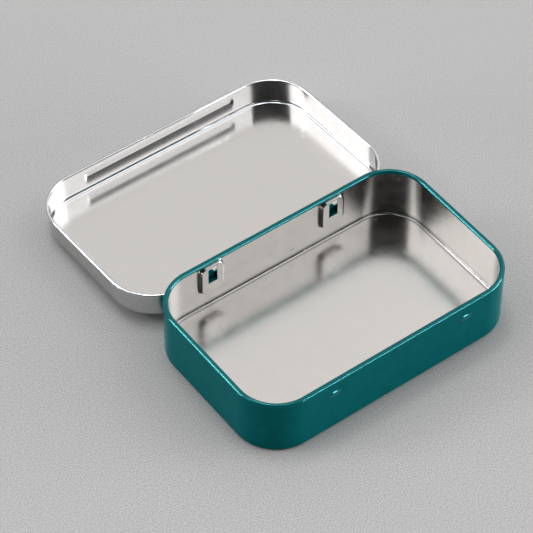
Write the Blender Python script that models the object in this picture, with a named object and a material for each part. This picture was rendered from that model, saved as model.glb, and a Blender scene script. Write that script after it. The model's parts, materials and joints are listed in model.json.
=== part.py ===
"""Hinged pocket tin: a drawn base and a drawn lid that swings on two hooks lanced from the base.

Metres, +Z up. +X runs along the tin, -Y is the front and +Y the hinge side.
The origin is the middle of the base's underside. The lid lies open behind the base,
with its front edge down on the surface that the tin stands on.
"""

import math

import bmesh
import bpy
from mathutils import Vector

MM = 0.001

# The sheet that both shells are drawn from
SHEET = 0.25 * MM

# Base shell
BASE_LENGTH = 95.0 * MM
BASE_WIDTH = 60.0 * MM
BASE_HEIGHT = 20.3 * MM
BASE_CORNER_RADIUS = 14.0 * MM
BASE_FOOT_RADIUS = 0.9 * MM
BASE_CURL_DIAMETER = 1.6 * MM

# Lid shell
LID_HEIGHT = 9.35 * MM
LID_EDGE_RADIUS = 1.1 * MM
LID_CURL_DIAMETER = 0.95 * MM
LID_REAR_TRIM = 0.3 * MM

# Clearances between the closed lid and the base
SIDE_CLEARANCE = 0.42 * MM
REAR_CLEARANCE = 0.15 * MM
SEAT_CLEARANCE = 0.3 * MM
SWING_CLEARANCE = 0.025 * MM

# Free edge of a curl, short of the wall that it turns back to
CURL_SLIT = 0.12 * MM

# Hinges: a pocket pressed into the base, a window in it, and the tongue cut from that window
HINGE_SPACING = 45.3 * MM
HINGE_OFFSET = -1.2 * MM
POCKET_WIDTH = 9.5 * MM
POCKET_DEPTH = 1.3 * MM
POCKET_BELOW_RIM = 2.1 * MM
POCKET_BELOW_AXIS = 6.0 * MM
POCKET_CORNER_RADIUS = 2.6 * MM
POCKET_FLANK = 0.5 * MM
WINDOW_WIDTH = 3.3 * MM
WINDOW_BELOW_POCKET_TOP = 0.95 * MM
WINDOW_BELOW_AXIS = 1.45 * MM
LANCE_GAP = 0.15 * MM
HOOK_CLEARANCE = 0.225 * MM
HOOK_TIP_ANGLE = math.radians(190.0)
LID_WINDOW_SIDE_CLEARANCE = 0.6 * MM
LID_WINDOW_RADIAL_CLEARANCE = 0.5 * MM
LID_WINDOW_SILL = 0.2 * MM

# Snap: two oval pips on the base's front wall that click into one long bead in the lid's
PIP_OFFSET = 0.9 * MM
PIP_SPACING = 48.4 * MM
PIP_BELOW_RIM = 5.2 * MM
PIP_LENGTH = 4.8 * MM
PIP_WIDTH = 2.4 * MM
BEAD_OFFSET = 0.7 * MM
BEAD_ABOVE_PIPS = 0.25 * MM
BEAD_LENGTH = 58.2 * MM
BEAD_WIDTH = 4.4 * MM
BEAD_DEPTH = 0.45 * MM

# How far a tool reaches past the sheet that it cuts or joins
OVERRUN = 0.1 * MM

# Facets
CORNER_STEPS = 10
CURL_STEPS = 14
EDGE_STEPS = 4
POCKET_CORNER_STEPS = 5
POCKET_FLANK_STEPS = 3
PIP_CORNER_STEPS = 5
BEAD_CORNER_STEPS = 6
DOME_STEPS = 3
HOOK_STEPS = 16
SMOOTH_ANGLE = math.radians(35.0)

# Finishes: base colour, metallic, roughness
TEAL_PAINT = ((0.004, 0.115, 0.125, 1.0), 0.0, 0.3)
BARE_TINPLATE = ((0.62, 0.61, 0.6, 1.0), 1.0, 0.3)
OUTSIDE, INSIDE = 0, 1

# Sizes that follow from the ones above
lid_top = BASE_HEIGHT + SEAT_CLEARANCE + SHEET
lid_rim = lid_top - LID_HEIGHT
bar_radius = LID_CURL_DIAMETER / 2
axis_y = BASE_WIDTH / 2 + REAR_CLEARANCE + bar_radius
axis_z = lid_rim + LID_REAR_TRIM + bar_radius
front_reach = axis_y + BASE_WIDTH / 2
base_curl_radius = BASE_CURL_DIAMETER / 2
rim_above_axis = BASE_HEIGHT - base_curl_radius - axis_z
rounding = base_curl_radius * rim_above_axis ** 2 / (2 * front_reach ** 2)
front_clearance = rim_above_axis ** 2 / (2 * front_reach) + rounding + SWING_CLEARANCE

pip_z = BASE_HEIGHT - PIP_BELOW_RIM
pip_rise = (pip_z - axis_z) ** 2 / (2 * front_reach)
pip_height = front_clearance - pip_rise - SWING_CLEARANCE
bead_z = pip_z + SEAT_CLEARANCE + BEAD_ABOVE_PIPS

pocket_top = BASE_HEIGHT - POCKET_BELOW_RIM
pocket_bottom = axis_z - POCKET_BELOW_AXIS
window_top = pocket_top - WINDOW_BELOW_POCKET_TOP
window_bottom = axis_z - WINDOW_BELOW_AXIS
tongue_width = WINDOW_WIDTH - 2 * LANCE_GAP
hook_radius = bar_radius + HOOK_CLEARANCE + SHEET / 2
hook_outer_radius = hook_radius + SHEET / 2

lid_length = BASE_LENGTH + 2 * (SIDE_CLEARANCE + SHEET)
lid_width = BASE_WIDTH + front_clearance + REAR_CLEARANCE + 2 * SHEET
lid_centre_y = (REAR_CLEARANCE - front_clearance) / 2
lid_corner_radius = BASE_CORNER_RADIUS + SIDE_CLEARANCE + SHEET
lid_front_y = lid_centre_y - lid_width / 2


def open_angle():
    """Turn from the closed lid to the one whose front edge has come down to the underside's level."""
    edge_reach = axis_y - lid_front_y - LID_EDGE_RADIUS
    edge_above_axis = lid_top - LID_EDGE_RADIUS - axis_z
    drop = axis_z - LID_EDGE_RADIUS
    past_level = math.asin(drop / math.hypot(edge_reach, edge_above_axis))
    past_level -= math.atan2(edge_above_axis, edge_reach)
    return math.pi + past_level


def clear_scene():
    for old in list(bpy.data.objects):
        bpy.data.objects.remove(old, do_unlink=True)


def finish(name, values):
    """A plain Principled material with the colour, metallic value and roughness given."""
    colour, metallic, roughness = values
    material = bpy.data.materials.new(name)
    material.use_nodes = True
    shader = material.node_tree.nodes["Principled BSDF"]
    shader.inputs["Base Color"].default_value = colour
    shader.inputs["Metallic"].default_value = metallic
    shader.inputs["Roughness"].default_value = roughness
    material.diffuse_color = colour
    return material


def arc(centre, radius, start, sweep, steps):
    """Points along an arc in a plane, both ends included."""
    angles = [start + sweep * step / steps for step in range(steps + 1)]
    return [(centre[0] + radius * math.cos(a), centre[1] + radius * math.sin(a)) for a in angles]


def rounded_outline(length, width, radius, steps):
    """Counter-clockwise points and outward normals of a rounded rectangle about the origin."""
    columns = []
    for quarter in range(4):
        start = quarter * math.pi / 2
        side_x = 1 if quarter in (0, 3) else -1
        side_y = 1 if quarter in (0, 1) else -1
        centre = (side_x * (length / 2 - radius), side_y * (width / 2 - radius))
        for step in range(steps + 1):
            angle = start + math.pi / 2 * step / steps
            normal = Vector((math.cos(angle), math.sin(angle)))
            columns.append((Vector(centre) + radius * normal, normal))
    return columns


def new_object(name, mesh_builder, materials):
    """An object from a bmesh, closed, facing out and shaded smooth across its soft edges."""
    bmesh.ops.recalc_face_normals(mesh_builder, faces=mesh_builder.faces)
    mesh = bpy.data.meshes.new(name)
    mesh_builder.to_mesh(mesh)
    mesh_builder.free()
    for material in materials:
        mesh.materials.append(material)
    mesh.shade_smooth()
    mesh.set_sharp_from_angle(angle=SMOOTH_ANGLE)
    made = bpy.data.objects.new(name, mesh)
    bpy.context.scene.collection.objects.link(made)
    return made


def bridge(mesh_builder, first, second, index, closed=True):
    """Quads between two equal rows of vertices."""
    count = len(first)
    for here in range(count if closed else count - 1):
        after = (here + 1) % count
        face = mesh_builder.faces.new((first[here], first[after], second[after], second[here]))
        face.material_index = index


def base_profile():
    """Sheet section of the base as (inset, height), from the underside over the curl to the floor."""
    foot = (BASE_FOOT_RADIUS, BASE_FOOT_RADIUS)
    curl = (base_curl_radius, BASE_HEIGHT - base_curl_radius)
    free_edge = math.acos((base_curl_radius - SHEET - CURL_SLIT) / base_curl_radius)
    sweep = free_edge - 2 * math.pi
    outer = arc(foot, BASE_FOOT_RADIUS, -math.pi / 2, -math.pi / 2, EDGE_STEPS)
    outer += arc(curl, base_curl_radius, math.pi, sweep, CURL_STEPS)
    inner = arc(curl, base_curl_radius - SHEET, math.pi + sweep, -sweep, CURL_STEPS)
    inner += arc(foot, BASE_FOOT_RADIUS - SHEET, math.pi, math.pi / 2, EDGE_STEPS)
    return outer, inner


def lid_profile():
    """Sheet section of the closed lid as (inset, height), from its top round the curl to its lining.

    The second value returned is how many points at each end of the two lists belong to the panel edge.
    """
    edge = (LID_EDGE_RADIUS, lid_top - LID_EDGE_RADIUS)
    curl = (SHEET - bar_radius, lid_rim + bar_radius)
    free_edge = math.acos((bar_radius - SHEET - CURL_SLIT) / bar_radius)
    sweep = free_edge - 2 * math.pi
    outer = arc(edge, LID_EDGE_RADIUS, math.pi / 2, math.pi / 2, EDGE_STEPS)
    outer += arc(curl, bar_radius - SHEET, 0, sweep, CURL_STEPS)
    inner = arc(curl, bar_radius, sweep, -sweep, CURL_STEPS)
    inner += arc(edge, LID_EDGE_RADIUS - SHEET, math.pi, -math.pi / 2, EDGE_STEPS)
    return outer, inner


def drawn_shell(name, columns, outer, inner, place, materials):
    """A shell whose sheet section is swept round an outline, closed by a flat panel.

    place(column point, normal, inset, height, on_rim) gives each vertex's position.
    """
    builder = bmesh.new()
    panel_points = EDGE_STEPS + 1
    section = outer + inner
    rows = []
    for number, (inset, height) in enumerate(section):
        on_rim = panel_points <= number < len(section) - panel_points
        row = [builder.verts.new(place(point, normal, inset, height, on_rim)) for point, normal in columns]
        rows.append(row)
    for number in range(len(rows) - 1):
        index = OUTSIDE if number < len(outer) else INSIDE
        bridge(builder, rows[number], rows[number + 1], index)
    builder.faces.new(rows[0]).material_index = OUTSIDE
    builder.faces.new(rows[-1]).material_index = INSIDE
    return new_object(name, builder, materials)


def make_base(materials):
    """The base shell, standing on the origin's plane."""

    def place(point, normal, inset, height, on_rim):
        moved = point - inset * normal
        return (moved.x, moved.y, height)

    columns = rounded_outline(BASE_LENGTH, BASE_WIDTH, BASE_CORNER_RADIUS, CORNER_STEPS)
    outer, inner = base_profile()
    return drawn_shell("base_shell", columns, outer, inner, place, materials)


def make_lid(materials):
    """The lid shell as it is when closed, with its own origin on the hinge axis."""

    def place(point, normal, inset, height, on_rim):
        facing_rear = max(0.0, normal.y)
        rear_share = facing_rear ** 2 * (3 - 2 * facing_rear)
        lift = LID_REAR_TRIM * rear_share if on_rim else 0.0
        moved = point - inset * normal
        return (moved.x, moved.y + lid_centre_y - axis_y, height + lift - axis_z)

    columns = rounded_outline(lid_length, lid_width, lid_corner_radius, CORNER_STEPS)
    outer, inner = lid_profile()
    lid = drawn_shell("lid_shell", columns, outer, inner, place, materials)
    lid.location = (0.0, axis_y, axis_z)
    return lid


def block(name, x, y, z, materials, index):
    """A box between the two values given for each axis."""
    builder = bmesh.new()
    corners = [(x[0], y[0]), (x[1], y[0]), (x[1], y[1]), (x[0], y[1])]
    low = [builder.verts.new((cx, cy, z[0])) for cx, cy in corners]
    high = [builder.verts.new((cx, cy, z[1])) for cx, cy in corners]
    bridge(builder, low, high, index)
    builder.faces.new(low).material_index = index
    builder.faces.new(high).material_index = index
    return new_object(name, builder, materials)


def pressed_block(name, centre, size, radius, steps, sections, materials, index):
    """A solid that rises from a wall facing Y: a rounded outline repeated at (y, inset) sections."""
    outline = rounded_outline(size[0], size[1], radius, steps)
    builder = bmesh.new()
    rows = []
    for y, inset in sections:
        row = []
        for point, normal in outline:
            moved = point - inset * normal
            row.append(builder.verts.new((centre[0] + moved.x, y, centre[1] + moved.y)))
        rows.append(row)
    for number in range(len(rows) - 1):
        bridge(builder, rows[number], rows[number + 1], index)
    builder.faces.new(rows[0]).material_index = index
    builder.faces.new(rows[-1]).material_index = index
    return new_object(name, builder, materials)


def combine(target, tool, operation):
    """Join a tool to the target or cut it away, and keep the tool as a guide that follows the target."""
    tool.hide_render = True
    tool.display_type = "WIRE"
    tool.parent = target
    modifier = target.modifiers.new(tool.name, "BOOLEAN")
    modifier.operation = operation
    modifier.object = tool
    modifier.solver = "EXACT"


def press(target, name, centre, size, radius, steps, face_y, towards, rise, run, sides, materials):
    """Press a form out of a wall.

    face_y is the face that the form rises from, towards is +1 or -1 along Y, rise and run are
    lists of how far it has risen and how far its outline has drawn in at each section, and sides
    holds the finish index of the raised face and of the hollow behind it.
    """
    root = face_y - towards * SHEET / 2
    raised = [(root, 0.0)]
    raised += [(face_y + towards * up, inwards) for up, inwards in zip(rise, run)]
    back_y = face_y - towards * SHEET
    hollow = [(back_y - towards * OVERRUN, 0.0)]
    hollow += [(back_y + towards * up, inwards) for up, inwards in zip(rise, run)]
    hollow_size = (size[0] - 2 * SHEET, size[1] - 2 * SHEET)
    hollow_radius = radius - SHEET
    hollow_share = hollow_radius / radius
    hollow = [(y, inwards * hollow_share) for y, inwards in hollow]
    solid = pressed_block(name + "_form", centre, size, radius, steps, raised, materials, sides[0])
    combine(target, solid, "UNION")
    void = pressed_block(name + "_hollow", centre, hollow_size, hollow_radius, steps, hollow,
                         materials, sides[1])
    combine(target, void, "DIFFERENCE")


def dome(height, radius):
    """Rise and run of a form that is rounded from its edge to its crown."""
    angles = [math.pi / 2 * step / (DOME_STEPS + 1) for step in range(DOME_STEPS + 1)]
    rise = [height * math.sin(a) / math.sin(angles[-1]) for a in angles]
    run = [radius * (1 - math.cos(a)) for a in angles]
    return rise, run


def flank(depth, width):
    """Rise and run of a form with sloping sides, eased into its flat floor."""
    rise, run = [0.0], [0.0]
    for step in range(1, POCKET_FLANK_STEPS + 1):
        share = step / POCKET_FLANK_STEPS
        rise.append(depth * math.sin(share * math.pi / 2))
        run.append(width * (1 - math.cos(share * math.pi / 2)))
    return rise, run


def hook_path():
    """Centreline of a tongue as (y, z): out of the window's sill, under the bar and round it."""
    root = Vector((BASE_WIDTH / 2 - POCKET_DEPTH - SHEET / 2, window_bottom - SHEET / 2))
    centre = Vector((axis_y, axis_z))
    to_centre = centre - root
    slope = math.atan2(to_centre.y, to_centre.x) - math.asin(hook_radius / to_centre.length)
    start = slope - math.pi / 2
    return [tuple(root)] + arc(centre, hook_radius, start, HOOK_TIP_ANGLE - start, HOOK_STEPS)


def strip(name, path, width, centre_x, materials, index):
    """A flat strip of sheet that follows a path in the YZ plane."""
    builder = bmesh.new()
    points = [Vector(point) for point in path]
    rings = []
    for number, point in enumerate(points):
        before = points[max(number - 1, 0)]
        after = points[min(number + 1, len(points) - 1)]
        along = (after - before).normalized()
        across = Vector((-along.y, along.x)) * SHEET / 2
        ring = []
        for side_x, side in ((-1, -1), (1, -1), (1, 1), (-1, 1)):
            edge = point + side * across
            ring.append(builder.verts.new((centre_x + side_x * width / 2, edge.x, edge.y)))
        rings.append(ring)
    for number in range(len(rings) - 1):
        bridge(builder, rings[number], rings[number + 1], index)
    builder.faces.new(rings[0]).material_index = index
    builder.faces.new(rings[-1]).material_index = index
    return new_object(name, builder, materials)


def make_hinge(base, lid, side, centre_x, base_materials, lid_materials):
    """One hinge: the base's pocket, window and hook, and the window above the lid's bar."""
    centre = (centre_x, (pocket_top + pocket_bottom) / 2)
    size = (POCKET_WIDTH, pocket_top - pocket_bottom)
    rise, run = flank(POCKET_DEPTH, POCKET_FLANK)
    inner_face = BASE_WIDTH / 2 - SHEET
    press(base, side + "_pocket", centre, size, POCKET_CORNER_RADIUS, POCKET_CORNER_STEPS,
          inner_face, -1, rise, run, (INSIDE, OUTSIDE), base_materials)

    floor_outer = BASE_WIDTH / 2 - POCKET_DEPTH
    half_window = WINDOW_WIDTH / 2
    window = block(side + "_window", (centre_x - half_window, centre_x + half_window),
                   (floor_outer - SHEET - OVERRUN, floor_outer + OVERRUN),
                   (window_bottom, window_top), base_materials, OUTSIDE)
    combine(base, window, "DIFFERENCE")

    tongue = strip(side + "_tongue", hook_path(), tongue_width, centre_x, base_materials, OUTSIDE)
    combine(base, tongue, "UNION")

    half_opening = tongue_width / 2 + LID_WINDOW_SIDE_CLEARANCE
    opening_top = hook_outer_radius + LID_WINDOW_RADIAL_CLEARANCE
    opening = block(side + "_lid_window", (centre_x - half_opening, centre_x + half_opening),
                    (-bar_radius - OVERRUN, SHEET - bar_radius + CURL_SLIT / 2),
                    (LID_WINDOW_SILL, opening_top), lid_materials, OUTSIDE)
    combine(lid, opening, "DIFFERENCE")


def make_snap(base, lid, base_materials, lid_materials):
    """The two pips on the base's front wall and the bead in the lid's front wall."""
    rise, run = dome(pip_height, PIP_WIDTH / 2)
    for side, sign in (("left", -1), ("right", 1)):
        centre = (PIP_OFFSET + sign * PIP_SPACING / 2, pip_z)
        press(base, side + "_pip", centre, (PIP_LENGTH, PIP_WIDTH), PIP_WIDTH / 2, PIP_CORNER_STEPS,
              -BASE_WIDTH / 2, -1, rise, run, (OUTSIDE, INSIDE), base_materials)
    rise, run = dome(BEAD_DEPTH, BEAD_WIDTH / 2)
    press(lid, "bead", (BEAD_OFFSET, bead_z - axis_z), (BEAD_LENGTH, BEAD_WIDTH), BEAD_WIDTH / 2,
          BEAD_CORNER_STEPS, lid_front_y - axis_y, -1, rise, run, (OUTSIDE, INSIDE), lid_materials)


def build():
    clear_scene()
    paint = finish("teal_paint", TEAL_PAINT)
    base_metal = finish("base_tinplate", BARE_TINPLATE)
    lid_metal = finish("lid_tinplate", BARE_TINPLATE)
    base_materials = (paint, base_metal)
    lid_materials = (lid_metal, lid_metal)
    base = make_base(base_materials)
    lid = make_lid(lid_materials)
    for side, sign in (("left", -1), ("right", 1)):
        make_hinge(base, lid, side, HINGE_OFFSET + sign * HINGE_SPACING / 2, base_materials, lid_materials)
    make_snap(base, lid, base_materials, lid_materials)
    lid.rotation_euler.x = -open_angle()


build()
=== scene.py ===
"""Looks of the hinged pocket tin: fine meshes, teal enamel, bright tinplate and a soft studio."""

import json
import math

import bmesh
import bpy
from mathutils import Matrix, Vector


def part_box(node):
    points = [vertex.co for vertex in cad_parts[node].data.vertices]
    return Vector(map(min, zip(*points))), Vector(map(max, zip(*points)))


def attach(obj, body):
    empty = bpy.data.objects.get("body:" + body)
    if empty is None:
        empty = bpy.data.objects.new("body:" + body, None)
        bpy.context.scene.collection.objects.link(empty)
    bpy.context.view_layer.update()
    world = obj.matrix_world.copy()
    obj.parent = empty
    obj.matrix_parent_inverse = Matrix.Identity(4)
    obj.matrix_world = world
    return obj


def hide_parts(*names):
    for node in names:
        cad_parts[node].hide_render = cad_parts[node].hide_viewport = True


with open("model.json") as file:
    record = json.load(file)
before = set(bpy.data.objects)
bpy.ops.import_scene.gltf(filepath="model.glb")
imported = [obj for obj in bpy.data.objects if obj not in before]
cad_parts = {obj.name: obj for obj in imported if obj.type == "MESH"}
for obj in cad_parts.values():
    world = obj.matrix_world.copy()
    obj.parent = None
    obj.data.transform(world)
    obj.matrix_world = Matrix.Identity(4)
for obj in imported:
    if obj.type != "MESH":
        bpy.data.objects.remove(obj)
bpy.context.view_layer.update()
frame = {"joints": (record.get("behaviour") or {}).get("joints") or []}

MM = 0.001

# Base
SHEET = 0.25 * MM
BASE_CORNER = 14.0 * MM
BASE_FOOT = 0.9 * MM
BASE_CURL = 0.8 * MM
CURL_SLIT = 0.12 * MM
HINGE_BEHIND_WALL = 0.625 * MM

# Lid, as it is when closed
LID_HEIGHT = 9.35 * MM
LID_EDGE = 1.1 * MM
LID_CURL = 0.475 * MM
LID_TRIM = 0.3 * MM
LID_SIDE_CLEARANCE = 0.42 * MM
LID_FRONT_CLEARANCE = 0.461 * MM
LID_REAR_CLEARANCE = 0.15 * MM
LID_SEAT = 0.3 * MM

# Hinge pockets and hooks, and the lid's windows by their height above the hinge's axis
HINGE_X = (-23.85 * MM, 21.45 * MM)
POCKET_WIDTH = 9.5 * MM
POCKET_TOP = 18.2 * MM
POCKET_BOTTOM = 6.275 * MM
POCKET_CORNER = 2.6 * MM
POCKET_DEPTH = 1.3 * MM
POCKET_FLANK = 0.75 * MM
WINDOW_WIDTH = 3.3 * MM
WINDOW_TOP = 17.25 * MM
WINDOW_BOTTOM = 10.825 * MM
TONGUE_WIDTH = 3.0 * MM
HOOK_RADIUS = 0.825 * MM
HOOK_TIP = math.radians(190.0)
LID_WINDOW_WIDTH = 4.2 * MM
LID_WINDOW_LOW = 0.2 * MM
LID_WINDOW_HIGH = 1.45 * MM

# Snap. The pips' flank is a share of the way from their outline to their middle.
PIP_X = (-23.3 * MM, 25.1 * MM)
PIP_Z = 15.1 * MM
PIP_HALF_LENGTH = 2.4 * MM
PIP_HALF_WIDTH = 1.2 * MM
PIP_HEIGHT = 0.37 * MM
PIP_FLANK = 0.4
BEAD_X = 0.7 * MM
BEAD_Z = 15.75 * MM
BEAD_HALF_LENGTH = 29.1 * MM
BEAD_LIP_SIDE = 2.3 * MM
BEAD_TOP_SIDE = 3.6 * MM
BEAD_END = 1.6 * MM
BEAD_DEPTH = 0.45 * MM

# Mesh fineness, and the limits within which two rows or a normal count as straight
CORNER_STEPS = 28
CURL_STEPS = 28
FOOT_STEPS = 8
COARSE = 3.0 * MM
FINE = 0.3 * MM
MERGE_GAP = 0.06 * MM
WALL_STEP = 0.22 * MM
PANEL_LEDGE = 0.5 * MM
SMOOTH_ANGLE = math.radians(40.0)
SAME_INSET = 1e-9
FACING = 0.999

# Corners of a tongue's cross-section, as signs along its width and its thickness
TONGUE_CORNERS = ((-1, -1), (1, -1), (1, 1), (-1, 1))

# Material places on each shell
OUTER_WALL, INNER_WALL, OUTER_PANEL, INNER_PANEL, RIM = range(5)

# Colours
TEAL_DEEP = (0.0005, 0.075, 0.082)
TEAL_LIGHT = (0.001, 0.088, 0.096)
TEAL_SHEEN = (0.3, 1.0, 1.0)
BRIGHT_TIN = (0.78, 0.785, 0.8)
# The base's inner wall: dull drawn tin, made darker still as painted shade for the shade and dark
# reflections inside the base
DULL_SHADED_TIN = (0.5, 0.49, 0.48)
# The lid's outside: a duller copy of the lid's tinplate, darkened further as painted shade for the
# shadowed floor that it reflects beside the base
GREY_SHADED_TIN = (0.56, 0.56, 0.555)
WARM_TIN = (0.71, 0.685, 0.66)
DUSKY_TIN = (0.4, 0.4, 0.395)
FLOOR_LOW = (0.235, 0.233, 0.232)
FLOOR_HIGH = (0.54, 0.534, 0.533)
WHITE = (1.0, 1.0, 1.0)

# Enamels as name, gloss and roughness
WALL_ENAMEL = ("teal_enamel", 0.03, 0.15)
RIM_ENAMEL = ("teal_rim_enamel", 0.7, 0.08)
ENAMEL_METALLIC = 0.3

# Tinplate as name, colour and roughness, and the strength of its wave where it is drawn
LID_WALL_TIN = ("drawn_tin", BRIGHT_TIN, 0.12, 0.05)
# The lid's outer wall takes the darker tin: partly duller metal, partly painted shade from the shadowed
# floor beside the base
LID_SIDE_TIN = ("drawn_tin_outside", GREY_SHADED_TIN, 0.2, 0.1)
LID_RIM_TIN = ("curled_tin", BRIGHT_TIN, 0.15, 0.02)
# The base's inner wall takes the darker tin: partly duller drawn metal, partly painted shade inside the
# base
BASE_WALL_TIN = ("deep_drawn_tin", DULL_SHADED_TIN, 0.22, 0.15)
INSIDE_TIN = ("rolled_tin", WARM_TIN, 0.2)
LID_TOP_TIN = ("rolled_tin_outside", DUSKY_TIN, 0.72)

# Noises as scale per metre, detail, roughness and stretch along each axis
EVEN = (1.0, 1.0, 1.0)
ENAMEL_MOTTLE = (350.0, 4.0, 0.5, EVEN)
ENAMEL_SMEAR = (900.0, 3.0, 0.5, EVEN)
ENAMEL_PEEL = (1100.0, 3.0, 0.5, EVEN)
DRAWN_TONE = (300.0, 3.0, 0.5, EVEN)
DRAWN_SMEAR = (240.0, 4.0, 0.5, EVEN)
DRAWN_WAVE = (60.0, 1.0, 0.5, EVEN)
DRAWN_MARKS = (1200.0, 1.0, 0.5, (0.1, 0.1, 1.0))
ROLLED_TONE = (1500.0, 4.0, 0.5, (0.25, 1.0, 1.0))
ROLLED_SMEAR = (200.0, 4.0, 0.5, EVEN)
ROLLED_GRAIN = (2600.0, 3.0, 0.5, (0.15, 1.0, 1.0))
PAPER_FIBRE = (2600.0, 2.0, 0.8, EVEN)
NOISE_LOW = 0.3
NOISE_HIGH = 0.7

# Relief as strength and depth
PEEL_RELIEF = (0.3, 0.01 * MM)
MARKS_RELIEF = (0.02, 0.01 * MM)
GRAIN_RELIEF = (0.08, 0.005 * MM)
WAVE_DEPTH = 0.05 * MM

# Lowest and highest roughness as shares of a finish's own, and its darkest tone as a share of its colour
ENAMEL_SPREAD = (0.8, 1.2)
DRAWN_SPREAD = (0.8, 1.25)
ROLLED_SPREAD = (0.9, 1.12)
DRAWN_DARKEST = 0.9
ROLLED_DARKEST = 0.94

# Floor
PAPER_ROUGHNESS = 0.95
PAPER_GLOSS = 0.1
FLOOR_SIZE = 6.0
FLOOR_DROP = 0.05 * MM

# The photograph's view: azimuth from -Y towards +X, and elevation
CAMERA_AZIMUTH = math.radians(-36.67)
CAMERA_ELEVATION = math.radians(48.13)
CAMERA_ROLL = 0.0023
CAMERA_TARGET = Vector((-1.6156, 31.5932, 0.0)) * MM
CAMERA_DISTANCE = 780.73 * MM
CAMERA_SENSOR = 36.0
CAMERA_LENS = 172.2

# The studio's dim light, and its boxes: middle azimuth from +X towards +Y, middle elevation, half
# width, half height and softness of the edge in degrees, and light. A later box covers an earlier one.
SKY_LEVEL = 0.15
SKY_BOXES = (
    (60.0, 46.0, 65.0, 27.0, 8.0, 0.84),
    (-15.0, 60.0, 62.0, 14.0, 3.0, 1.1),
    (-60.0, 45.5, 17.0, 6.5, 2.0, 1.7),
    (24.0, 63.0, 17.0, 8.0, 3.0, 0.3),
    (148.0, 44.0, 29.0, 17.0, 4.0, 2.1),
    (142.0, 28.0, 6.0, 3.0, 1.5, 26.0),
    (-12.0, 44.0, 27.0, 12.0, 4.0, 2.2),
    (87.0, 75.0, 28.0, 7.0, 3.0, 12.0),
    (0.0, 84.0, 190.0, 8.0, 3.0, 5.0),
    (-29.0, 30.0, 16.0, 15.0, 3.0, 2.6),
    (15.0, 10.0, 15.0, 12.0, 5.0, 1.2),
    (-37.0, 4.5, 16.0, 3.5, 1.0, 46.0),
    (-64.0, 4.5, 8.0, 2.5, 1.0, 50.0),
    (-128.5, 35.0, 46.0, 55.0, 6.0, 0.02),
    (150.0, 5.0, 12.0, 3.5, 1.0, 42.0),
)

# Read from the frame
hinge = frame["joints"][0]
axis_y, axis_z = hinge["pos_m"][1:]
open_turn = math.radians(hinge["range_deg"][1])
base_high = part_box("base_shell")[1]
half_length = base_high.x
half_width = axis_y - HINGE_BEHIND_WALL
base_height = base_high.z

lid_top = base_height + LID_SEAT + SHEET
lid_rim = lid_top - LID_HEIGHT
lid_half_length = half_length + LID_SIDE_CLEARANCE + SHEET
lid_half_width = half_width + (LID_FRONT_CLEARANCE + LID_REAR_CLEARANCE) / 2 + SHEET
lid_shift = (LID_REAR_CLEARANCE - LID_FRONT_CLEARANCE) / 2
lid_corner = BASE_CORNER + LID_SIDE_CLEARANCE + SHEET
lid_window_low = axis_z + LID_WINDOW_LOW
lid_window_high = axis_z + LID_WINDOW_HIGH


def ease(share):
    """A smooth step from 0 to 1."""
    share = min(max(share, 0.0), 1.0)
    return share * share * (3 - 2 * share)


def rounded_box_depth(u, v, half_u, half_v, corner):
    """How far (u, v) lies inside a rounded rectangle about the origin, negative outside it."""
    du, dv = abs(u) - half_u + corner, abs(v) - half_v + corner
    outside = math.hypot(max(du, 0.0), max(dv, 0.0))
    return corner - outside - min(max(du, dv), 0.0)


def pressed(depth_inside, flank, height):
    """Height of a pressed form at a place that lies that far inside its outline."""
    return height * ease(depth_inside / flank)


def pocket_press(x, z):
    """Inward press of the base's back wall."""
    centre_z = (POCKET_TOP + POCKET_BOTTOM) / 2
    half_z = (POCKET_TOP - POCKET_BOTTOM) / 2
    best = 0.0
    for centre_x in HINGE_X:
        inside = rounded_box_depth(x - centre_x, z - centre_z, POCKET_WIDTH / 2, half_z, POCKET_CORNER)
        best = max(best, pressed(inside, POCKET_FLANK, POCKET_DEPTH))
    return best


def pip_press(x, z):
    """Outward press of the base's front wall."""
    best = 0.0
    for centre_x in PIP_X:
        reach = math.hypot((x - centre_x) / PIP_HALF_LENGTH, (z - PIP_Z) / PIP_HALF_WIDTH)
        best = max(best, pressed(1 - reach, PIP_FLANK, PIP_HEIGHT))
    return best


def bead_press(x, z):
    """Outward press of the lid's front wall: crowned towards the lip, flaring out towards the top."""
    end = ease((BEAD_HALF_LENGTH - abs(x - BEAD_X)) / BEAD_END)
    if z < BEAD_Z:
        share = max(1 - (BEAD_Z - z) / BEAD_LIP_SIDE, 0.0)
        return BEAD_DEPTH * end * share * (2 - share)
    share = min((z - BEAD_Z) / BEAD_TOP_SIDE, 1.0)
    return BEAD_DEPTH * end * (1 - share) ** 2


def in_window(x, normal_y, height, low, high, width):
    """Whether the middle of a cell of the wall lies in one of the windows of the back wall."""
    beside = any(abs(x - centre_x) < width / 2 for centre_x in HINGE_X)
    return normal_y > FACING and low < height < high and beside


def spans(centres, half):
    """The stretch about each centre that is meshed finely."""
    return [(centre - half - FINE, centre + half + FINE) for centre in centres]


def stations(low, high, fine_spans, marks=()):
    """Places from low to high: coarse, fine inside the spans, and on every mark."""
    places = {low, high, *marks}
    edges = sorted({low, high, *[edge for span in fine_spans for edge in span if low < edge < high]})
    for start, end in zip(edges, edges[1:]):
        middle = (start + end) / 2
        step = FINE if any(a <= middle <= b for a, b in fine_spans) else COARSE
        count = max(1, round((end - start) / step))
        places.update(start + (end - start) * n / count for n in range(count + 1))
    merged = []
    for place in sorted(places):
        if not merged or place - merged[-1] >= MERGE_GAP:
            merged.append(place)
        elif place in marks:
            merged[-1] = place
    return merged


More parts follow.
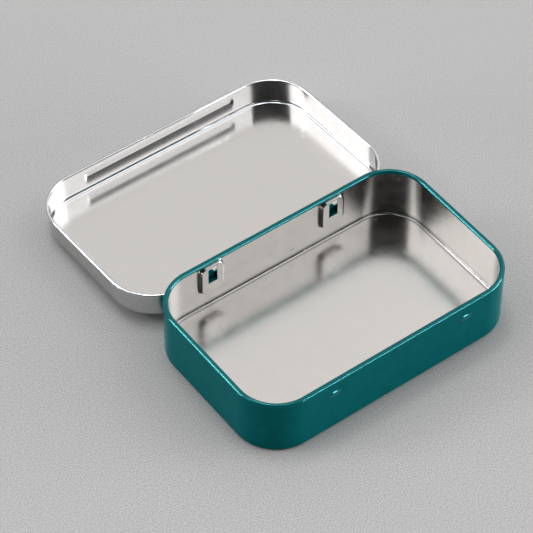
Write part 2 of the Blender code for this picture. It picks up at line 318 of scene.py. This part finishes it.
def outline(half_x, half_y, corner, front_x, back_x):
    """Columns round a rounded rectangle, counter-clockwise, as (x, y, normal x, normal y).

    front_x and back_x are the places along X of the columns on the front and back walls.
    """
    columns = []
    side_y = half_y - corner
    steps = max(1, round(2 * side_y / COARSE))
    for n in range(1, steps):
        columns.append((half_x, -side_y + 2 * side_y * n / steps, 1.0, 0.0))
    columns += corner_columns(half_x - corner, side_y, corner, 0)
    columns += [(x, half_y, 0.0, 1.0) for x in reversed(back_x[1:-1])]
    columns += corner_columns(corner - half_x, side_y, corner, 1)
    for n in range(1, steps):
        columns.append((-half_x, side_y - 2 * side_y * n / steps, -1.0, 0.0))
    columns += corner_columns(corner - half_x, -side_y, corner, 2)
    columns += [(x, -half_y, 0.0, -1.0) for x in front_x[1:-1]]
    columns += corner_columns(half_x - corner, -side_y, corner, 3)
    return columns


def corner_columns(centre_x, centre_y, radius, quarter):
    """Columns round one corner, which starts that many quarter turns from +X."""
    made = []
    for n in range(CORNER_STEPS + 1):
        angle = math.pi / 2 * (quarter + n / CORNER_STEPS)
        nx, ny = math.cos(angle), math.sin(angle)
        made.append((centre_x + radius * nx, centre_y + radius * ny, nx, ny))
    return made


def arc(centre, radius, start, sweep, steps):
    """Points along an arc, both ends included."""
    angles = [start + sweep * n / steps for n in range(steps + 1)]
    return [(centre[0] + radius * math.cos(a), centre[1] + radius * math.sin(a)) for a in angles]


def curl_sweep(radius):
    """Turn of a curl that stops a slit's width short of its own wall."""
    return math.acos((radius - SHEET - CURL_SLIT) / radius) - 2 * math.pi


def wall_heights(low, high, marks):
    """Heights up a wall, both ends included, one on each mark."""
    count = round((high - low) / WALL_STEP)
    places = [low + (high - low) * n / count for n in range(count + 1)]
    for mark in marks:
        nearest = min(range(1, count), key=lambda n: abs(places[n] - mark))
        places[nearest] = mark
    return places


def base_section():
    """Outer and inner rows of the base's sheet as (inset, height), from underside to floor."""
    foot = (BASE_FOOT, BASE_FOOT)
    curl = (BASE_CURL, base_height - BASE_CURL)
    sweep = curl_sweep(BASE_CURL)
    heights = wall_heights(BASE_FOOT, curl[1], (WINDOW_BOTTOM, WINDOW_TOP))[1:-1]
    outer = [(BASE_FOOT + PANEL_LEDGE, 0.0)]
    outer += arc(foot, BASE_FOOT, -math.pi / 2, -math.pi / 2, FOOT_STEPS)
    outer += [(0.0, z) for z in heights]
    outer += arc(curl, BASE_CURL, math.pi, sweep, CURL_STEPS)
    inner = arc(curl, BASE_CURL - SHEET, math.pi + sweep, -sweep, CURL_STEPS)
    inner += [(SHEET, z) for z in reversed(heights)]
    inner += arc(foot, BASE_FOOT - SHEET, math.pi, math.pi / 2, FOOT_STEPS)
    inner += [(BASE_FOOT + PANEL_LEDGE, SHEET)]
    return outer, inner


def lid_section():
    """Outer and inner rows of the closed lid's sheet as (inset, height), from its top to its lining."""
    edge = (LID_EDGE, lid_top - LID_EDGE)
    curl = (SHEET - LID_CURL, lid_rim + LID_CURL)
    sweep = curl_sweep(LID_CURL)
    heights = wall_heights(axis_z, edge[1], (lid_window_low, lid_window_high))[1:-1]
    outer = [(LID_EDGE + PANEL_LEDGE, lid_top)]
    outer += arc(edge, LID_EDGE, math.pi / 2, math.pi / 2, FOOT_STEPS)
    outer += [(0.0, z) for z in reversed(heights)]
    outer += arc(curl, LID_CURL - SHEET, 0, sweep, CURL_STEPS)
    inner = arc(curl, LID_CURL, sweep, -sweep, CURL_STEPS)
    inner += [(SHEET, z) for z in heights]
    inner += arc(edge, LID_EDGE - SHEET, math.pi, -math.pi / 2, FOOT_STEPS)
    inner += [(LID_EDGE + PANEL_LEDGE, lid_top - SHEET)]
    return outer, inner


def wall_rows(outer, inner):
    """Numbers of the rows on the wall between foot and curl, on both faces of the sheet."""
    outside = range(FOOT_STEPS + 2, len(outer) - CURL_STEPS - 1)
    return {*outside, *[len(outer) + len(inner) - 1 - row for row in outside]}


def swept_shell(name, columns, outer, inner, place, open_at, materials):
    """A sheet section swept round columns, closed by two flat panels, with square holes cut through.

    place gives a vertex from its column, inset, height and row number. open_at says whether the
    cell of the wall is open whose middle has that x, normal y and height.
    """
    mesh = bmesh.new()
    section = outer + inner
    rows = []
    for number, (inset, height) in enumerate(section):
        rows.append([mesh.verts.new(place(column, inset, height, number)) for column in columns])
    for number, (row, next_row) in enumerate(zip(rows, rows[1:])):
        if number < len(outer) - CURL_STEPS:
            side = OUTER_WALL
        elif number < len(outer):
            side = RIM
        else:
            side = INNER_WALL
        (inset_a, height_a), (inset_b, height_b) = section[number], section[number + 1]
        straight = abs(inset_a - inset_b) < SAME_INSET
        middle_height = (height_a + height_b) / 2
        for here, column in enumerate(columns):
            after = (here + 1) % len(columns)
            middle_x = (column[0] + columns[after][0]) / 2
            if straight and open_at(middle_x, column[3], middle_height):
                continue
            corners = (row[here], row[after], next_row[after], next_row[here])
            mesh.faces.new(corners).material_index = side
    mesh.faces.new(rows[0]).material_index = OUTER_PANEL
    mesh.faces.new(rows[-1]).material_index = INNER_PANEL
    stitch_holes(mesh)
    bmesh.ops.recalc_face_normals(mesh, faces=mesh.faces)
    return finished(name, mesh, materials)


def stitch_holes(mesh):
    """Join the outer and inner edges of every hole across the sheet's thickness."""
    loops = edge_loops([edge for edge in mesh.edges if len(edge.link_faces) == 1])
    loops.sort(key=lambda loop: (round(loop_middle(loop).x / MM), loop_middle(loop).y))
    for first, second in zip(loops[::2], loops[1::2]):
        bridge = bmesh.ops.bridge_loops(mesh, edges=first + second)
        for face in bridge["faces"]:
            face.material_index = OUTER_WALL


def edge_loops(edges):
    """Edges grouped into the closed loops that they form."""
    left, loops = dict.fromkeys(edges), []
    while left:
        loop, grow = [], [left.popitem()[0]]
        while grow:
            edge = grow.pop()
            loop.append(edge)
            for vertex in edge.verts:
                for near in vertex.link_edges:
                    if near in left:
                        del left[near]
                        grow.append(near)
        loops.append(loop)
    return loops


def loop_middle(loop):
    """Mean place of a loop's vertices."""
    points = [vertex.co for edge in loop for vertex in edge.verts]
    return sum(points, Vector()) / len(points)


def finished(name, mesh, materials):
    """An object in the scene from a mesh, smooth but for its sharp edges."""
    data = bpy.data.meshes.new(name)
    mesh.to_mesh(data)
    mesh.free()
    for material in materials:
        data.materials.append(material)
    data.shade_smooth()
    data.set_sharp_from_angle(angle=SMOOTH_ANGLE)
    made = bpy.data.objects.new(name, data)
    bpy.context.scene.collection.objects.link(made)
    return made


def make_base(materials):
    """The base: foot, wall with pockets and pips, inward curl and floor."""
    marks = [x + sign * WINDOW_WIDTH / 2 for x in HINGE_X for sign in (-1, 1)]
    straight = half_length - BASE_CORNER
    back_x = stations(-straight, straight, spans(HINGE_X, POCKET_WIDTH / 2), marks)
    front_x = stations(-straight, straight, spans(PIP_X, PIP_HALF_LENGTH))
    columns = outline(half_length, half_width, BASE_CORNER, front_x, back_x)
    outer, inner = base_section()
    on_wall = wall_rows(outer, inner)

    def place(column, inset, height, row):
        x, y, nx, ny = column
        move = -inset
        if row in on_wall and ny > FACING:
            move -= pocket_press(x, height)
        if row in on_wall and ny < -FACING:
            move += pip_press(x, height)
        return (x + move * nx, y + move * ny, height)

    def open_at(x, normal_y, height):
        return in_window(x, normal_y, height, WINDOW_BOTTOM, WINDOW_TOP, WINDOW_WIDTH)

    base = swept_shell("base_body", columns, outer, inner, place, open_at, materials)
    for face in base.data.polygons:
        on_pip = face.center.y < 0 and pip_press(face.center.x, face.center.z) > 0
        if on_pip and face.material_index == OUTER_WALL:
            face.material_index = RIM
    return base


def make_lid(materials):
    """The lid, built closed and then turned back to its rest pose."""
    marks = [x + sign * LID_WINDOW_WIDTH / 2 for x in HINGE_X for sign in (-1, 1)]
    straight = lid_half_length - lid_corner
    back_x = stations(-straight, straight, spans(HINGE_X, LID_WINDOW_WIDTH / 2), marks)
    bead_ends = [BEAD_X + sign * BEAD_HALF_LENGTH for sign in (-1, 1)]
    front_x = stations(-straight, straight, spans(bead_ends, BEAD_END))
    columns = outline(lid_half_length, lid_half_width, lid_corner, front_x, back_x)
    outer, inner = lid_section()
    on_wall = wall_rows(outer, inner)
    on_curl = range(len(outer) - CURL_STEPS - 1, len(outer) + CURL_STEPS + 1)
    turn = Matrix.Rotation(-open_turn, 4, "X")
    pivot = Vector((0.0, axis_y, axis_z))

    def place(column, inset, height, row):
        x, y, nx, ny = column
        move = -inset
        if row in on_wall and ny < -FACING:
            move += bead_press(x, height)
        if row in on_curl:
            height += LID_TRIM * ease(ny)
        closed = Vector((x + move * nx, y + lid_shift + move * ny, height))
        return turn @ (closed - pivot) + pivot

    def open_at(x, normal_y, height):
        return in_window(x, normal_y, height, lid_window_low, lid_window_high, LID_WINDOW_WIDTH)

    return swept_shell("lid_body", columns, outer, inner, place, open_at, materials)


def make_hook(name, centre_x, materials):
    """A tongue of sheet that leaves the window's sill and goes round the lid's bar."""
    root = Vector((half_width - POCKET_DEPTH - SHEET / 2, WINDOW_BOTTOM - SHEET / 2))
    centre = Vector((axis_y, axis_z))
    away = centre - root
    slope = math.atan2(away.y, away.x) - math.asin(HOOK_RADIUS / away.length)
    start = slope - math.pi / 2
    points = [root]
    points += [Vector(p) for p in arc(centre, HOOK_RADIUS, start, HOOK_TIP - start, CURL_STEPS)]
    mesh = bmesh.new()
    rings = []
    for n, point in enumerate(points):
        along = (points[min(n + 1, len(points) - 1)] - points[max(n - 1, 0)]).normalized()
        across = Vector((-along.y, along.x)) * SHEET / 2
        ring = []
        for wide, thick in TONGUE_CORNERS:
            edge = point + thick * across
            ring.append(mesh.verts.new((centre_x + wide * TONGUE_WIDTH / 2, edge.x, edge.y)))
        rings.append(ring)
    for first, second in zip(rings, rings[1:]):
        for n in range(len(first)):
            after = (n + 1) % len(first)
            mesh.faces.new((first[n], first[after], second[after], second[n]))
    mesh.faces.new(rings[0])
    mesh.faces.new(rings[-1])
    bmesh.ops.recalc_face_normals(mesh, faces=mesh.faces)
    return finished(name, mesh, materials)


class Nodes:
    """Short calls for the nodes of one material."""

    def __init__(self, name):
        self.material = bpy.data.materials.new(name)
        self.material.use_nodes = True
        self.tree = self.material.node_tree
        self.shader = self.tree.nodes["Principled BSDF"]
        self.place = self.tree.nodes.new("ShaderNodeTexCoord").outputs["Object"]

    def set(self, **values):
        """Set the shader's own sockets, named with underscores for spaces."""
        for name, value in values.items():
            self.shader.inputs[name.replace("_", " ")].default_value = value

    def link(self, output, name):
        self.tree.links.new(output, self.shader.inputs[name])

    def noise(self, scale, detail, roughness, stretch):
        mapping = self.tree.nodes.new("ShaderNodeMapping")
        mapping.inputs["Scale"].default_value = stretch
        self.tree.links.new(self.place, mapping.inputs["Vector"])
        made = self.tree.nodes.new("ShaderNodeTexNoise")
        made.inputs["Scale"].default_value = scale
        made.inputs["Detail"].default_value = detail
        made.inputs["Roughness"].default_value = roughness
        self.tree.links.new(mapping.outputs["Vector"], made.inputs["Vector"])
        return made.outputs["Fac"]

    def ramp(self, value, low, high):
        """A noise's middle range spread over low to high."""
        made = self.tree.nodes.new("ShaderNodeMapRange")
        made.inputs["From Min"].default_value = NOISE_LOW
        made.inputs["From Max"].default_value = NOISE_HIGH
        made.inputs["To Min"].default_value = low
        made.inputs["To Max"].default_value = high
        self.tree.links.new(value, made.inputs["Value"])
        return made.outputs["Result"]

    def colour(self, value, low, high):
        """The base colour, from low to high with value."""
        made = self.tree.nodes.new("ShaderNodeMix")
        made.data_type = "RGBA"
        made.inputs["A"].default_value = (*low, 1.0)
        made.inputs["B"].default_value = (*high, 1.0)
        self.tree.links.new(value, made.inputs["Factor"])
        self.link(made.outputs["Result"], "Base Color")

    def roughness(self, noise, middle, spread):
        """The roughness, which a noise spreads about its middle."""
        low, high = spread
        self.link(self.ramp(self.noise(*noise), low * middle, high * middle), "Roughness")

    def bump(self, value, strength, distance, below=None):
        made = self.tree.nodes.new("ShaderNodeBump")
        made.inputs["Strength"].default_value = strength
        made.inputs["Distance"].default_value = distance
        self.tree.links.new(value, made.inputs["Height"])
        if below is not None:
            self.tree.links.new(below, made.inputs["Normal"])
        return made.outputs["Normal"]


def teal_enamel(name, gloss, roughness):
    """Teal enamel with a slight orange peel, a faint mottle and a sheen of its own colour."""
    nodes = Nodes(name)
    nodes.set(Metallic=ENAMEL_METALLIC, Specular_IOR_Level=gloss, Specular_Tint=(*TEAL_SHEEN, 1.0))
    nodes.colour(nodes.ramp(nodes.noise(*ENAMEL_MOTTLE), 0.0, 1.0), TEAL_DEEP, TEAL_LIGHT)
    nodes.roughness(ENAMEL_SMEAR, roughness, ENAMEL_SPREAD)
    nodes.link(nodes.bump(nodes.noise(*ENAMEL_PEEL), *PEEL_RELIEF), "Normal")
    return nodes.material


def drawn_tin(name, colour, roughness, wave):
    """Tinplate stretched by drawing: close to a mirror, with a slight wave and faint draw marks."""
    nodes = Nodes(name)
    nodes.set(Metallic=1.0)
    nodes.colour(nodes.noise(*DRAWN_TONE), [DRAWN_DARKEST * c for c in colour], colour)
    nodes.roughness(DRAWN_SMEAR, roughness, DRAWN_SPREAD)
    waves = nodes.bump(nodes.noise(*DRAWN_WAVE), wave, WAVE_DEPTH)
    nodes.link(nodes.bump(nodes.noise(*DRAWN_MARKS), *MARKS_RELIEF, waves), "Normal")
    return nodes.material


def rolled_tin(name, colour, roughness):
    """Tinplate as it was rolled: satin, with a fine grain that runs along the tin."""
    nodes = Nodes(name)
    nodes.set(Metallic=1.0)
    nodes.colour(nodes.noise(*ROLLED_TONE), [ROLLED_DARKEST * c for c in colour], colour)
    nodes.roughness(ROLLED_SMEAR, roughness, ROLLED_SPREAD)
    nodes.link(nodes.bump(nodes.noise(*ROLLED_GRAIN), *GRAIN_RELIEF), "Normal")
    return nodes.material


def floor_paper():
    """Matt grey paper with a fine speckle."""
    nodes = Nodes("floor_paper")
    nodes.set(Roughness=PAPER_ROUGHNESS, Specular_IOR_Level=PAPER_GLOSS)
    nodes.colour(nodes.ramp(nodes.noise(*PAPER_FIBRE), 0.0, 1.0), FLOOR_LOW, FLOOR_HIGH)
    return nodes.material


def make_floor():
    """A wide plain floor, a hair below the tin so that the two don't share a plane."""
    bpy.ops.mesh.primitive_plane_add(size=FLOOR_SIZE, location=(0.0, 0.0, -FLOOR_DROP))
    floor = bpy.context.object
    floor.name = "floor"
    floor.data.materials.append(floor_paper())


def make_camera():
    """The photograph's view: 36.7 degrees round to the left and 48.1 degrees up."""
    data = bpy.data.cameras.new("camera")
    data.sensor_width = CAMERA_SENSOR
    data.lens = CAMERA_LENS
    camera = bpy.data.objects.new("camera", data)
    bpy.context.scene.collection.objects.link(camera)
    level = math.cos(CAMERA_ELEVATION)
    back = Vector((math.sin(CAMERA_AZIMUTH) * level, -math.cos(CAMERA_AZIMUTH) * level,
                   math.sin(CAMERA_ELEVATION)))
    camera.location = CAMERA_TARGET + back * CAMERA_DISTANCE
    turn = (-back).to_track_quat("-Z", "Y")
    camera.rotation_mode = "QUATERNION"
    camera.rotation_quaternion = turn @ Matrix.Rotation(CAMERA_ROLL, 3, "Z").to_quaternion()
    bpy.context.scene.camera = camera


class Sky:
    """The world's light by direction: a dim level with soft-edged boxes of other light in it."""

    def __init__(self, level):
        self.world = bpy.data.worlds.new("studio")
        self.world.use_nodes = True
        self.tree = self.world.node_tree
        self.place = self.tree.nodes.new("ShaderNodeTexCoord").outputs["Generated"]
        self.elevation = self.compute("ARCSINE", self.dot((0.0, 0.0, 1.0)))
        self.light = level

    def compute(self, operation, *values):
        node = self.tree.nodes.new("ShaderNodeMath")
        node.operation = operation
        for socket, value in zip(node.inputs, values):
            self.feed(socket, value)
        return node.outputs["Value"]

    def feed(self, socket, value):
        """Give a socket a number or another node's output."""
        if isinstance(value, float):
            socket.default_value = value
        else:
            self.tree.links.new(value, socket)

    def dot(self, direction):
        node = self.tree.nodes.new("ShaderNodeVectorMath")
        node.operation = "DOT_PRODUCT"
        node.inputs[1].default_value = direction
        self.tree.links.new(self.place, node.inputs[0])
        return node.outputs["Value"]

    def within(self, angle, half, soft):
        """1 where the angle is smaller than half, 0 where it is larger, with a soft edge."""
        fade = self.tree.nodes.new("ShaderNodeMapRange")
        fade.interpolation_type = "SMOOTHSTEP"
        fade.inputs["From Min"].default_value = math.radians(half + soft)
        fade.inputs["From Max"].default_value = math.radians(half - soft)
        self.tree.links.new(self.compute("ABSOLUTE", angle), fade.inputs["Value"])
        return fade.outputs["Result"]

    def add_box(self, azimuth, elevation, half_width, half_height, soft, level):
        """Put a box of even light over what is there. Angles are in degrees."""
        turn = math.radians(azimuth)
        ahead = self.dot((math.cos(turn), math.sin(turn), 0.0))
        aside = self.dot((-math.sin(turn), math.cos(turn), 0.0))
        across = self.within(self.compute("ARCTAN2", aside, ahead), half_width, soft)
        above = self.compute("SUBTRACT", self.elevation, math.radians(elevation))
        share = self.compute("MULTIPLY", across, self.within(above, half_height, soft))
        mixed = self.tree.nodes.new("ShaderNodeMix")
        self.feed(mixed.inputs["A"], self.light)
        self.feed(mixed.inputs["B"], level)
        self.feed(mixed.inputs["Factor"], share)
        self.light = mixed.outputs["Result"]

    def finish(self):
        """Use it as the world. The camera sees only the floor's grey beyond the floor."""
        nodes = self.tree.nodes
        self.tree.links.new(self.light, nodes["Background"].inputs["Strength"])
        nodes["Background"].inputs["Color"].default_value = (*WHITE, 1.0)
        backdrop = nodes.new("ShaderNodeBackground")
        backdrop.inputs["Color"].default_value = (*FLOOR_HIGH, 1.0)
        either = nodes.new("ShaderNodeMixShader")
        seen = nodes.new("ShaderNodeLightPath").outputs["Is Camera Ray"]
        self.tree.links.new(seen, either.inputs["Fac"])
        self.tree.links.new(nodes["Background"].outputs["Background"], either.inputs[1])
        self.tree.links.new(backdrop.outputs["Background"], either.inputs[2])
        self.tree.links.new(either.outputs["Shader"], nodes["World Output"].inputs["Surface"])
        bpy.context.scene.world = self.world


enamel = teal_enamel(*WALL_ENAMEL)
rim_enamel = teal_enamel(*RIM_ENAMEL)
lid_wall_tin = drawn_tin(*LID_WALL_TIN)
lid_side_tin = drawn_tin(*LID_SIDE_TIN)
lid_rim_tin = drawn_tin(*LID_RIM_TIN)
base_wall_tin = drawn_tin(*BASE_WALL_TIN)
inside_tin = rolled_tin(*INSIDE_TIN)
lid_top_tin = rolled_tin(*LID_TOP_TIN)
base_body = make_base((enamel, base_wall_tin, enamel, inside_tin, rim_enamel))
lid_body = make_lid((lid_side_tin, lid_wall_tin, lid_top_tin, inside_tin, lid_rim_tin))
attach(base_body, "base")
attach(lid_body, "lid")
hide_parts("base_shell")
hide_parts("lid_shell")
for side, centre_x in zip(("left", "right"), HINGE_X):
    hook = make_hook(side + "_hook", centre_x, (enamel,))
    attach(hook, "base")
make_floor()
make_camera()
sky = Sky(SKY_LEVEL)
for box in SKY_BOXES:
    sky.add_box(*box)
sky.finish()
bpy.context.scene.view_settings.view_transform = "Standard"
